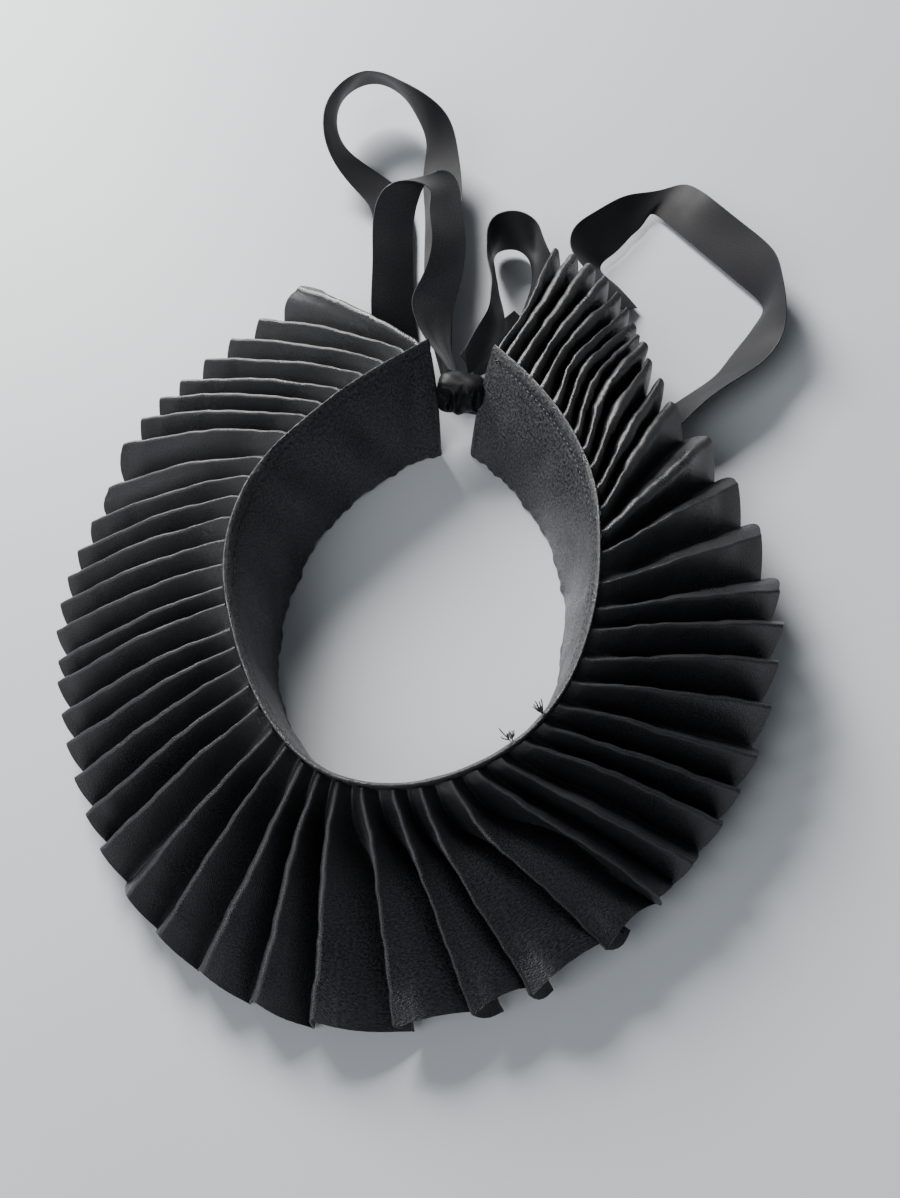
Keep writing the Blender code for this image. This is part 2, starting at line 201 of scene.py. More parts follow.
LOOP_RIGHT = (
    (5, 92, 20, 120, 25, 10),
    (10, 99, 22, 140, 20, 14),
    (14, 109, 22, 165, 16, 17),
    (15, 118, 19.5, 175, 17, 19),
    (14, 131, 15, 176, 17, 20),
    (10, 147, 10.5, 176, 17, 20),
    (7, 160, 7, 174, 14, 20),
    (4, 173, 3.5, 160, 9, 20),
    (5, 182, 2.2, 120, 5, 20),
    (12, 185, 2, 82, 5, 20),
    (18, 181, 2, 35, 7, 20),
    (21, 173, 2.5, 10, 9, 20),
    (22, 163, 2.5, 6, 20, 20),
    (21, 154, 2, 5, 44, 20),
    (20, 147, 2, 5, 58, 20),
)
STRETCH = (
    (8, 95, 16, 150, 50, 11),
    (12, 102, 12.5, 150, 53, 14),
    (18, 111, 7, 150, 58, 17),
    (26, 121, 3, 150, 60, 19),
    (33, 131, 1.5, 150, 66, 20),
)
TAIL = (
    (15, 98, 3, -75, 60, 10),
    (24, 99, 1.6, -85, 72, 16),
    (38, 94, 1.2, -88, 80, 20),
    (56, 89, 1.2, -78, 80, 20),
    (70, 92, 1.2, -58, 66, 20),
    (82, 101, 2, -44, 48, 20),
    (93, 113, 2, -40, 43, 20),
    (103, 125, 2, -35, 46, 20),
    (108, 135, 2, -30, 52, 20),
    (114, 147, 2, -24, 46, 20),
    (119, 158, 2, -14, 22, 20),
    (121, 166, 2, 8, 10, 20),
    (117, 173, 2, 32, 20, 20),
    (111, 179, 2, 42, 36, 20),
    (98, 192, 2, 45, 45, 20),
    (84, 206, 2, 46, 50, 20),
    (75, 215, 2, 43, 62, 20),
    (70, 218, 2, 50, 72, 20),
    (67, 212, 2, 70, 78, 20),
    (65, 207, 2, 86, 76, 20),
    (62, 202, 2, 100, 68, 20),
    (59, 196, 2, 114, 60, 20),
    (55, 189, 2, 132, 55, 20),
    (51, 183, 2, 155, 50, 20),
    (51, 177, 2, 190, 46, 20),
    (57, 171, 2, 215, 48, 20),
    (68, 158, 2, 222, 62, 20),
)

# Soft creases on the inside of the neck band: distance along the neck edge,
# level from foot (0) to seam (1), length and breadth, slant, and depth outwards.
CREASE_COLUMNS = ("along", "level", "length", "breadth", "slant", "depth")
CREASES = (
    (14, 0.55, 26, 4, 20, 0.85),
    (38, 0.45, 34, 6, -25, 1.87),
    (52, 0.4, 36, 7, -18, -1.36),
    (68, 0.45, 40, 7, -14, 2.04),
    (84, 0.6, 34, 6, -8, -1.19),
    (100, 0.15, 16, 5, 10, 1.7),
    (112, 0.45, 34, 7, 8, 1.19),
    (132, 0.5, 30, 7, 14, -1.02),
    (158, 0.5, 30, 8, 0, 1.19),
    (190, 0.4, 28, 8, -10, -0.85),
    (222, 0.45, 30, 7, 6, 1.02),
    (256, 0.5, 30, 8, 12, -0.85),
    (290, 0.4, 32, 7, 8, 1.19),
    (318, 0.2, 18, 5, 20, 1.53),
    (338, 0.5, 34, 8, 16, -1.19),
    (362, 0.45, 34, 8, 22, 1.36),
    (388, 0.55, 30, 7, 20, -1.02),
    (412, 0.45, 30, 7, 24, 1.36),
    (436, 0.4, 26, 5, 10, -0.85),
)


# ------------------------------------------------------------------ curves
def smooth(x, low, high):
    x = np.clip((np.asarray(x, float) - low) / (high - low), 0, 1)
    return x * x * (3 - 2 * x)


def through(points, count):
    """A smooth curve through the points, as count points evenly spaced along it."""
    p = np.array(points, float)
    chord = np.concatenate([[0], np.cumsum(np.linalg.norm(np.diff(p, axis=0), axis=1))])
    n = len(p)
    h = np.diff(chord)
    a, b = np.eye(n), np.zeros_like(p)
    for i in range(1, n - 1):
        a[i, i - 1 : i + 2] = h[i - 1], 2 * (h[i - 1] + h[i]), h[i]
        b[i] = 6 * ((p[i + 1] - p[i]) / h[i] - (p[i] - p[i - 1]) / h[i - 1])
    m = np.linalg.solve(a, b)
    fine = []
    for i in range(n - 1):
        for k in range(24):
            t = h[i] * k / 24
            fine.append(
                p[i]
                + t * ((p[i + 1] - p[i]) / h[i] - h[i] * (2 * m[i] + m[i + 1]) / 6)
                + t * t * m[i] / 2
                + t**3 * (m[i + 1] - m[i]) / (6 * h[i])
            )
    fine = np.array(fine + [p[-1]])
    along = np.concatenate(
        [[0], np.cumsum(np.linalg.norm(np.diff(fine[:, :3], axis=0), axis=1))]
    )
    at = np.linspace(0, along[-1], count)
    return np.stack([np.interp(at, along, c) for c in fine.T], 1)


def unit(v):
    return v / np.maximum(np.linalg.norm(v, axis=-1, keepdims=True), 1e-12)


RING_FINE = through(RING, 600)
TOP, FOOT = RING_FINE[:, :2], RING_FINE[:, 2:]
ALONG = np.concatenate([[0], np.cumsum(np.linalg.norm(np.diff(TOP, axis=0), axis=1))])
HEIGHT = np.sqrt(BAND_WIDTH**2 - np.minimum(((TOP - FOOT) ** 2).sum(1), 22.0**2))
HEIGHT = np.convolve(np.pad(HEIGHT, 20, mode="edge"), np.ones(41) / 41, "valid")
TRAVEL = unit(np.gradient(TOP, axis=0))
OUTWARD = np.stack([TRAVEL[:, 1], -TRAVEL[:, 0]], 1)


def on_ring(u, values):
    values = values if values.ndim == 2 else values[:, None]
    return np.array([np.interp(u, ALONG, c) for c in values.T])


# ------------------------------------------------------------------ meshes
def make(name, verts, faces, material, uvs=None, sharp=None, shift=True):
    """A mesh piece that rides on the collar. uvs are per vertex, in metres of cloth."""
    mesh = bpy.data.meshes.new(name)
    verts = np.array(verts, float)
    if shift:
        verts = verts + [SHIFT[0], SHIFT[1], 0]
    mesh.from_pydata((verts * 0.001).tolist(), [], [tuple(f) for f in faces])
    mesh.update()
    if uvs is not None:
        layer = mesh.uv_layers.new(name="cloth")
        index = np.empty(len(mesh.loops), int)
        mesh.loops.foreach_get("vertex_index", index)
        layer.data.foreach_set("uv", (np.array(uvs, float)[index] * 0.001).ravel())
    mesh.shade_smooth()
    if sharp is not None:
        want = {tuple(sorted(e)) for e in sharp}
        pairs = np.empty(len(mesh.edges) * 2, int)
        mesh.edges.foreach_get("vertices", pairs)
        flags = [tuple(sorted(e)) in want for e in pairs.reshape(-1, 2).tolist()]
        mark = mesh.attributes.get("sharp_edge") or mesh.attributes.new(
            "sharp_edge", "BOOLEAN", "EDGE"
        )
        mark.data.foreach_set("value", flags)
    mesh.materials.append(material)
    obj = bpy.data.objects.new(name, mesh)
    bpy.context.scene.collection.objects.link(obj)
    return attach(obj, "root")


def grid_normals(p):
    across, down = p[:, 1:] - p[:, :-1], p[1:] - p[:-1]
    face = unit(np.cross(across[:-1] + across[1:], down[:, :-1] + down[:, 1:]))
    normal = np.zeros_like(p)
    normal[:-1, :-1] += face
    normal[1:, :-1] += face
    normal[:-1, 1:] += face
    normal[1:, 1:] += face
    return unit(normal)


def shell(name, rows, thickness, material, uv):
    """A closed thin cloth round a grid of points. uv is the same grid's cloth place."""
    p = np.array(rows, float)
    r, c = p.shape[:2]
    offset = grid_normals(p) * thickness / 2
    n = r * c
    verts = np.concatenate([(p + offset).reshape(-1, 3), (p - offset).reshape(-1, 3)])
    i, j = np.meshgrid(np.arange(r - 1), np.arange(c - 1), indexing="ij")
    q = np.stack(
        [i * c + j, (i + 1) * c + j, (i + 1) * c + j + 1, i * c + j + 1], -1
    ).reshape(-1, 4)
    rim = (
        [k for k in range(c)]
        + [k * c + c - 1 for k in range(1, r)]
        + [(r - 1) * c + k for k in range(c - 2, -1, -1)]
        + [k * c for k in range(r - 2, 0, -1)]
    )
    after = rim[1:] + rim[:1]
    faces = q[:, ::-1].tolist() + (q + n).tolist()
    faces += [(b, a, a + n, b + n) for a, b in zip(rim, after)]
    sharp = list(zip(rim, after)) + [(a + n, b + n) for a, b in zip(rim, after)]
    flat = np.array(uv, float).reshape(-1, 2)
    return make(name, verts, faces, material, np.concatenate([flat, flat]), sharp)


def tubes(name, paths, radius, material, sides=6, taper=0.5):
    """Many short threads as one mesh: closed tubes along each path."""
    verts, faces = [], []
    for path in paths:
        p = np.array(path, float)
        tangent = unit(np.gradient(p, axis=0))
        ref = np.array([0.31, 0.22, 0.93])
        side = unit(np.cross(tangent, ref))
        lift = np.cross(side, tangent)
        start = len(verts)
        count = len(p)
        for k in range(count):
            r = radius * (taper if k in (0, count - 1) else 1.0)
            for s in range(sides):
                w = 2 * math.pi * s / sides
                verts.append(p[k] + (side[k] * math.cos(w) + lift[k] * math.sin(w)) * r)
        for k in range(count - 1):
            for s in range(sides):
                e = (s + 1) % sides
                a, b = start + k * sides, start + (k + 1) * sides
                faces.append((a + s, a + e, b + e, b + s))
        faces.append(tuple(start + s for s in reversed(range(sides))))
        faces.append(tuple(start + (count - 1) * sides + s for s in range(sides)))
    return make(name, verts, faces, material)


# ------------------------------------------------------------------ materials
def nodes_of(name):
    m = bpy.data.materials.new(name)
    m.use_nodes = True
    t = m.node_tree
    return m, t, t.nodes["Principled BSDF"]


def node(tree, kind, **values):
    n = tree.nodes.new(kind)
    for key, value in values.items():
        if key in n.inputs:
            n.inputs[key].default_value = value
        else:
            setattr(n, key, value)
    return n


def ramp(tree, source, stops):
    r = tree.nodes.new("ShaderNodeValToRGB")
    while len(r.color_ramp.elements) < len(stops):
        r.color_ramp.elements.new(0.5)
    for e, (at, colour) in zip(r.color_ramp.elements, stops):
        e.position = at
        e.color = (*colour, 1) if len(colour) == 3 else colour
    tree.links.new(source, r.inputs["Fac"])
    return r.outputs["Color"]


def cloth_material(
    name, dark, light, rough, sheen, grain, weave, bump, gloss,
    sheen_tint=(0.75, 0.78, 0.85),
):
    """Woven satin: colour mottled by grain, a fine diagonal weave and a soft sheen."""
    m, t, shader = nodes_of(name)
    link = t.links.new
    uv = node(t, "ShaderNodeUVMap", uv_map="cloth")
    speckle = node(t, "ShaderNodeTexNoise", Scale=grain, Detail=3.0, Roughness=0.65)
    link(uv.outputs["UV"], speckle.inputs["Vector"])
    cloud = node(t, "ShaderNodeTexNoise", Scale=55.0, Detail=3.0, Roughness=0.55)
    link(uv.outputs["UV"], cloud.inputs["Vector"])
    turn = node(t, "ShaderNodeMapping", vector_type="POINT")
    turn.inputs["Rotation"].default_value = (0, 0, math.radians(38))
    link(uv.outputs["UV"], turn.inputs["Vector"])
    twill = node(t, "ShaderNodeTexWave", Scale=weave, Distortion=1.2, Detail=1.0)
    link(turn.outputs["Vector"], twill.inputs["Vector"])
    colour = ramp(t, speckle.outputs["Fac"], ((0.40, dark), (0.62, light)))
    link(colour, shader.inputs["Base Color"])
    low, high = rough
    glint = node(t, "ShaderNodeTexNoise", Scale=grain * 1.35, Detail=1.0)
    link(uv.outputs["UV"], glint.inputs["Vector"])
    mixed = node(t, "ShaderNodeMath", operation="MULTIPLY_ADD")
    link(glint.outputs["Fac"], mixed.inputs[0])
    mixed.inputs[1].default_value = 0.7
    link(cloud.outputs["Fac"], mixed.inputs[2])
    shine = ramp(
        t, mixed.outputs[0], ((0.62, (low, low, low)), (1.05, (high, high, high)))
    )
    link(shine, shader.inputs["Roughness"])
    both = node(t, "ShaderNodeMath", operation="MULTIPLY_ADD")
    link(twill.outputs["Fac"], both.inputs[0])
    both.inputs[1].default_value = 0.12
    link(speckle.outputs["Fac"], both.inputs[2])
    relief = node(t, "ShaderNodeBump", Strength=bump, Distance=0.0005)
    link(both.outputs[0], relief.inputs["Height"])
    link(relief.outputs["Normal"], shader.inputs["Normal"])
    shader.inputs["Sheen Weight"].default_value = sheen
    shader.inputs["Sheen Roughness"].default_value = 0.32
    shader.inputs["Sheen Tint"].default_value = (*sheen_tint, 1)
    shader.inputs["Specular IOR Level"].default_value = gloss
    return m


PLEAT_SATIN = cloth_material(
    "pleat_satin",
    (0.001, 0.001, 0.002),
    (0.028, 0.028, 0.032),
    (0.22, 0.42),
    0.03,
    1800.0,
    620.0,
    0.5,
    0.75,
)
BAND_SATIN = cloth_material(
    "band_satin",
    (0.001, 0.001, 0.0015),
    (0.062, 0.062, 0.070),
    (0.16, 0.56),
    0.02,
    900.0,
    620.0,
    1.0,
    0.65,
)
RIBBON_SATIN = cloth_material(
    "ribbon_satin",
    (0.018, 0.018, 0.020),
    (0.032, 0.032, 0.035),
    (0.40, 0.52),
    0.08,
    1900.0,
    800.0,
    0.15,
    0.40,
)
# the loop beside the left end gets a lighter copy of the ribbon satin, painted light; the far loop and the
# long ties get a darker, duller copy, painted shade
RIBBON_PAINTED_LIGHT = cloth_material(
    "ribbon_painted_light",
    (0.040, 0.040, 0.043),
    (0.075, 0.075, 0.080),
    (0.40, 0.54),
    0.10,
    1500.0,
    800.0,
    0.3,
    0.40,
)
# a darker, less glossy copy of the ribbon satin: painted shade on the far loop and the tail
RIBBON_PAINTED_SHADE = cloth_material(
    "ribbon_painted_shade",
    (0.013, 0.013, 0.015),
    (0.024, 0.024, 0.027),
    (0.50, 0.62),
    0.04,
    1900.0,
    800.0,
    0.15,
    0.16,
)
# a still darker copy of the ribbon satin for the knot: painted shade
KNOT_PAINTED_SHADE = cloth_material(
    "knot_satin_painted_shade",
    (0.003, 0.003, 0.004),
    (0.011, 0.011, 0.013),
    (0.44, 0.56),
    0.05,
    1900.0,
    800.0,
    0.15,
    0.18,
)


def thread_material():
    m, t, shader = nodes_of("black_thread")
    place = node(t, "ShaderNodeTexCoord")
    twist = node(t, "ShaderNodeTexNoise", Scale=2400.0, Detail=2.0)
    t.links.new(place.outputs["Object"], twist.inputs["Vector"])
    colour = ramp(
        t, twist.outputs["Fac"], ((0.3, (0.006, 0.006, 0.007)), (0.7, (0.03, 0.03, 0.033)))
    )
    t.links.new(colour, shader.inputs["Base Color"])
    shader.inputs["Roughness"].default_value = 0.5
    shader.inputs["Sheen Weight"].default_value = 0.2
    return m


THREAD = thread_material()


def selvage_material():
    m, t, shader = nodes_of("ribbon_edge")
    place = node(t, "ShaderNodeTexCoord")
    twist = node(t, "ShaderNodeTexNoise", Scale=1800.0, Detail=2.0)
    t.links.new(place.outputs["Object"], twist.inputs["Vector"])
    colour = ramp(
        t, twist.outputs["Fac"], ((0.3, (0.02, 0.02, 0.022)), (0.7, (0.07, 0.07, 0.075)))
    )
    t.links.new(colour, shader.inputs["Base Color"])
    shader.inputs["Roughness"].default_value = 0.3
    shader.inputs["Sheen Weight"].default_value = 0.3
    return m


SELVAGE = selvage_material()


# ------------------------------------------------------------------ frill
STATIONS = np.concatenate([np.linspace(0, 0.3, 12)[:-1], np.linspace(0.3, 1, 21)])
TURNS = (0.07, 0.24, 0.43, 0.62, 0.81, 1.0)
STRAIGHT = (0.17, 0.34, 0.52, 0.7, 0.86)
PINCH = (0.8, 0.3)
SEAM_MIDDLE = (2.0, -8.0)


def ridges():
    lines, u = [], 0.0
    for row in FOLDS:
        u += row[0]
        top, side = on_ring(u, TOP), unit(on_ring(u, OUTWARD))
        high = on_ring(u, HEIGHT)[0] - ROOT_DROP
        root = np.append(
            top + side * (BAND_WALL / 2 + SEAM_GAP + FRILL_WALL / 2 + 0.3), high
        )
        run = math.sqrt(FRILL_WIDTH**2 - (high - row[2]) ** 2)
        turn = math.radians(row[1])
        hem = root + [run * math.cos(turn), run * math.sin(turn), row[2] - high]
        t = STATIONS[:, None]
        lines.append(
            root + (hem - root) * t + [0, 0, BOW_RISE] * np.sin(math.pi * t)
        )
    return np.array(lines)


def hangs(lines, slopes):
    """Which way each valley drops: square to its ridges, and much as its neighbours do."""
    between = lines[1:] - lines[:-1]
    normal = unit(np.cross((slopes[1:] + slopes[:-1]) / 2, between))
    normal = np.where(normal[..., 2:] < 0, -normal, normal)
    padded = np.pad(normal, ((3, 3), (0, 0), (0, 0)), mode="edge")
    return unit(sum(padded[k : k + len(normal)] for k in range(7)))


def valley(a, b, slope, middle, deeper, under, normal):
    """The line between two ridges, at the depth that the width of a face allows."""
    between = b - a
    along = unit(slope)
    across = between - along * (between * along).sum(1, keepdims=True)
    pitch = np.linalg.norm(across, axis=1)
    full = np.sqrt(np.maximum(FACE**2 - (pitch / 2) ** 2, 25.0))
    depth = ROOT_FOLD + (full - ROOT_FOLD) * smooth(STATIONS, -0.05, 0.36)
    # towards the hem the valleys hang straight down, so the hem stays in line
    plumb = (0.78 + 0.42 * min(under, 1.0)) * smooth(STATIONS, 0.35, 1.0)[:, None]
    normal = unit(normal * (1 - plumb * np.array([1, 1, 0])))
    room = (middle[:, 2] - CLOTH / 2 - 0.6) / np.maximum(normal[:, 2], 0.5)
    depth = np.minimum(depth * deeper, np.maximum(room, 2.0))
    shift = across / 2 * (under * smooth(STATIONS, 0.1, 0.6))[:, None]
    return middle - normal * depth[:, None] + shift


def frill():
    rng = np.random.default_rng(11)
    plain = ridges()
    slopes = np.gradient(plain, axis=1)
    lines = plain.copy()
    t = STATIONS
    for i, row in enumerate(FOLDS):
        before, after = plain[max(i - 1, 0)], plain[min(i + 1, len(plain) - 1)]
        along = unit(slopes[i])
        across = after - before
        across = unit(across - along * (across * along).sum(1, keepdims=True))
        sway = np.interp(
            t, (0, 0.12, 0.25, 0.36, 0.5, 0.75, 1),
            (0, row[3] * 0.5, row[3], (row[3] + row[4]) * 0.55, row[4], row[5], 0),
        )
        sway = np.convolve(np.pad(sway, 2, mode="edge"), (0.1, 0.2, 0.4, 0.2, 0.1), "valid")
        for wave, size in ((2.3, 0.10), (5.1, 0.14), (9.7, 0.10)):
            sway += (
                size
                * np.sin(2 * math.pi * (wave * t * rng.uniform(0.8, 1.2) + rng.uniform()))
                * smooth(t, 0, 0.2)
            )
        lines[i] = lines[i] - across * sway[:, None]
        lines[i, :, 2] += (
            0.35
            * np.sin(2 * math.pi * (1.6 * t + rng.uniform()))
            * smooth(t, 0.05, 0.3)
            * (1 - smooth(t, 0.8, 1.0))
        )
    first = 1.5 * lines[0] - 0.5 * lines[1]
    last = 1.5 * lines[-1] - 0.5 * lines[-2]
    normals = hangs(lines, slopes)
    valleys = [
        valley(2 * lines[0] - lines[1], lines[0], slopes[0], first, 1.0, 0, normals[0])
    ]
    for i in range(len(lines) - 1):
        valleys.append(
            valley(
                lines[i],
                lines[i + 1],
                (slopes[i] + slopes[i + 1]) / 2,
                (lines[i] + lines[i + 1]) / 2,
                1.0 + 0.03 * math.sin(2.7 * i),
                FOLDS[i + 1][6],
                normals[i],
            )
        )
    end = 2 * lines[-1] - lines[-2]
    valleys.append(valley(lines[-1], end, slopes[-1], last, 1.0, 0, normals[-1]))
    chain = [valleys[0]]
    for line, after in zip(lines, valleys[1:]):
        chain += [line, after]
    chain = np.array(chain)
    columns, places = [], []
    v = STATIONS * FRILL_WIDTH
    grow = smooth(t, 0.0, 0.55)
    for i in range(len(chain) - 1):
        # odd places in the chain are ridges: an odd face falls away beyond its ridge
        beyond = bool(i % 2)
        ridge = (i - 1) // 2 if beyond else i // 2
        row = FOLDS[min(ridge, len(FOLDS) - 1)]
        a, b = chain[i], chain[i + 1]
        near, far = chain[max(i - 1, 0)], chain[min(i + 2, len(chain) - 1)]
        crest, trough = (a, b) if beyond else (b, a)
        slope = unit(np.gradient((a + b) / 2, axis=0))
        side = unit(np.cross(slope, (b - near) + (far - a)))
        side = np.where(side[:, 2:] < 0, -side, side)
        out = unit(np.cross(slope, side))
        out = np.where(((far - near) * out).sum(1, keepdims=True) < 0, -out, out)
        out = out if beyond else -out
        gap = trough - crest
        wide, deep = (gap * out).sum(1), -(gap * side).sum(1)
        rest = gap - out * wide[:, None] + side * deep[:, None]
        angle = np.arctan2(deep, np.maximum(wide, 0.2))
        roll = row[7] * (0.55 + 0.45 * grow)
        roll = np.minimum(roll, np.maximum(0.6 * np.maximum(wide, 0), 0.45))
        pinch = np.minimum(0.45, 0.3 * np.maximum(wide, 1.2))
        billow = (row[9] if beyond else 0.3) * (0.85 + 0.3 * rng.uniform())
        gape = 1 + 0.6 * smooth(row[6], 0.8, 1.4) * smooth(t, 0.7, 1.0)
        below = FOLDS[max(ridge - 1, 0)][8]
        fan = row[8] if beyond else 0.2 + 0.45 * max(-below, 0.0)
        start = (roll * np.sin(angle), roll * (1 - np.cos(angle)))
        end = (
            wide - pinch * np.sin(angle),
            deep - pinch * (1 - np.cos(angle)),
        )
        face = []
        for turn in TURNS:
            w = angle * turn
            face.append((roll * np.sin(w), roll * (1 - np.cos(w)), 0 * w, turn * 0.1))
        for f in STRAIGHT:
            swell = billow * gape * math.sin(math.pi * f**0.85) * smooth(t, 0.03, 0.75)
            face.append(
                (
                    start[0] + (end[0] - start[0]) * f + swell * np.sin(angle),
                    start[1] + (end[1] - start[1]) * f - swell * np.cos(angle),
                    fan * math.sin(math.pi * f**0.85) * smooth(t, 0.55, 1.0),
                    0.1 + 0.84 * f,
                )
            )
        for turn in PINCH:
            w = angle * turn
            face.append(
                (wide - pinch * np.sin(w), deep - pinch * (1 - np.cos(w)), 0 * w, 1 - turn * 0.05)
            )
        if not beyond:
            face.reverse()
        for x, y, reach, share in face:
            at = crest + out * x[:, None] - side * y[:, None]
            at = at + rest * share + slope * reach[:, None]
            columns.append(at)
            place = (i + (share if beyond else 1 - share)) * FACE
            places.append(np.stack([np.full_like(v, place), v], 1))
    grid = np.array(columns).transpose(1, 0, 2)
    grid[..., 2] = np.maximum(grid[..., 2], 0.6)
    # the first row is caught in the band's top seam
    centre = np.array([SEAM_MIDDLE[0], SEAM_MIDDLE[1]])
    inward = unit(centre - grid[0, :, :2])
    grid[0, :, :2] += inward * 1.3
    uv = np.array(places).transpose(1, 0, 2)
    piece = shell("frill_cloth", grid, CLOTH, PLEAT_SATIN, uv)
    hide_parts("pleated_frill")
    return grid


# ------------------------------------------------------------------ neck band
def band_point(u, level, layer):
    """A point on the band: level from foot to seam, layer from inside -1 to outside 1."""
    top, foot = on_ring(u, TOP), on_ring(u, FOOT)
    high = on_ring(u, HEIGHT)[0]
    side = unit(on_ring(u, OUTWARD))
    belly = -1.6 * math.sin(math.pi * min(max(level, 0), 1))
    at = foot + (top - foot) * level + side * (belly + layer * BAND_WALL / 2)
    return np.array([at[0], at[1], high * level])


def band_relief(u, level):
    """How far the inside face moves outwards (mm) with its creases and stitching."""
    out = 0.0
    for along, middle, length, breadth, slant, depth in CREASES:
        x, y = u - along, (level - middle) * BAND_WIDTH
        c, s = math.cos(math.radians(slant)), math.sin(math.radians(slant))
        across, down = x * c + y * s, -x * s + y * c
        out += depth * math.exp(-((across / breadth) ** 2) - (down / (length / 2)) ** 2)
    edge = (1 - level) * BAND_WIDTH
    out += 0.35 * math.exp(-(((edge - 4.2) / 0.7) ** 2))
    out -= 0.35 * math.exp(-(((edge - 2.0) / 1.3) ** 2))
    pucker = math.sin(u / 2.1) * 0.6 + math.sin(u / 3.7 + 1.1) * 0.4
    out += 0.16 * pucker * math.exp(-(((edge - 4.2) / 3.0) ** 2))
    for end in (0.0, ALONG[-1]):
        x = abs(u - end)
        out += 0.35 * math.exp(-(((x - 3.2) / 0.6) ** 2))
    hem = level * BAND_WIDTH
    out += 0.10 * pucker * math.exp(-((hem / 4.0) ** 2))
    return out


def band():
    count = 460
    inner = (0.004, 0.02, 0.06, 0.12, 0.2, 0.29, 0.38, 0.47, 0.56, 0.65, 0.73, 0.8)
    inner += (0.85, 0.885, 0.907, 0.925, 0.945, 0.965, 0.985)
    outer = (0.985, 0.95, 0.9, 0.8, 0.65, 0.5, 0.35, 0.2, 0.08, 0.02)
    verts, uvs = [], []
    for u in np.linspace(0, ALONG[-1], count):
        ring, place = [], []
        close = min(u, ALONG[-1] - u)
        thin = 1 - 0.45 * math.exp(-((close / 0.8) ** 2))
        wave = 0.25 * math.sin(u / 6.3) + 0.18 * math.sin(u / 2.9 + 0.7)
        for k, level in enumerate(inner):
            at = band_point(u, level, -thin * (1 - 0.5 * float(smooth(level, 0.9, 1.0))))
            side = np.append(unit(on_ring(u, OUTWARD)), 0)
            at = at + side * band_relief(u, level) * smooth(level, 0.0, 0.05)
            if k <= 1:
                ragged = 0.45 * math.sin(u / 5.3 + 1.0) + 0.3 * math.sin(u / 2.3)
                ragged += 0.25 * math.sin(u / 1.1 + 2.0)
                at = at - side * ragged * (0.7 if k else 1.0)
            if k == 0:
                at = at + side * 0.35
                at[2] = 0.0
            ring.append(at)
            place.append((u, level * BAND_WIDTH))
        for level, layer in ((1.0, -0.25), (1.004, 0.05), (1.0, 0.35)):
            at = band_point(u, level, layer * thin)
            at[2] += 0.2 * wave
            ring.append(at)
            place.append((u, BAND_WIDTH + 1 + layer))
        for level in outer:
            ring.append(band_point(u, level, thin * (1 - 0.4 * float(smooth(level, 0.9, 1.0)))))
            place.append((u, 2 * BAND_WIDTH + 2 - level * BAND_WIDTH))
        at = band_point(u, 0.0, 0.75 * thin)
        ring.append(at)
        place.append((u, 2 * BAND_WIDTH + 3))
        verts.append(ring)
        uvs.append(place)
    m = len(verts[0])
    v = np.array(verts).reshape(-1, 3)
    faces = []
    for i in range(count - 1):
        for j in range(m):
            k = (j + 1) % m
            faces.append((i * m + j, (i + 1) * m + j, (i + 1) * m + k, i * m + k))
    caps = [tuple(range(m)), tuple((count - 1) * m + j for j in reversed(range(m)))]
    sharp = []
    for base in (0, (count - 1) * m):
        sharp += [(base + j, base + (j + 1) % m) for j in range(m)]
    faces += caps
    piece = make(
        "band_cloth", v, faces, BAND_SATIN, np.array(uvs).reshape(-1, 2), sharp
    )
    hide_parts("neck_band")
    return piece


def on_band(u, level, lift):
    """A place on the band's inside face, lifted off it towards the neck."""
    at = band_point(u, level, -1)
    side = np.append(unit(on_ring(u, OUTWARD)), 0)
    return at + side * (band_relief(u, level) - lift)


def band_stitches():
    paths = []
    pitch, length = 2.7, 1.9
    level = 1 - 4.2 / BAND_WIDTH
    u = 1.5
    while u + length < ALONG[-1] - 1.5:
        paths.append(
            [
                on_band(u + length * f, level, lift)
                for f, lift in ((0, -0.15), (0.25, 0.2), (0.5, 0.28), (0.75, 0.2), (1, -0.15))
            ]
        )
        u += pitch
    for end, way in ((0.0, 1), (ALONG[-1], -1)):
        d = 2.0
        while d + length < BAND_WIDTH * 0.9:
            paths.append(
                [
                    on_band(end + way * 3.2, (d + length * f) / BAND_WIDTH, lift)
                    for f, lift in ((0, -0.15), (0.3, 0.2), (0.7, 0.2), (1, -0.15))
                ]
            )
            d += pitch
    tubes("band_stitching", paths, 0.22, THREAD, sides=6)


# ------------------------------------------------------------------ ribbons
def ribbon_edges(rows, count):
    table = np.array(rows, float)
    lower, width = table[:, :3], table[:, 5:6]
    turn, lean = np.radians(table[:, 3]), np.radians(table[:, 4])
    up = np.stack(
        [np.cos(turn) * np.sin(lean), np.sin(turn) * np.sin(lean), np.cos(lean)], 1
    )
    edges = through(np.hstack([lower, lower + up * width]), count)
    return edges[:, :3], edges[:, 3:]


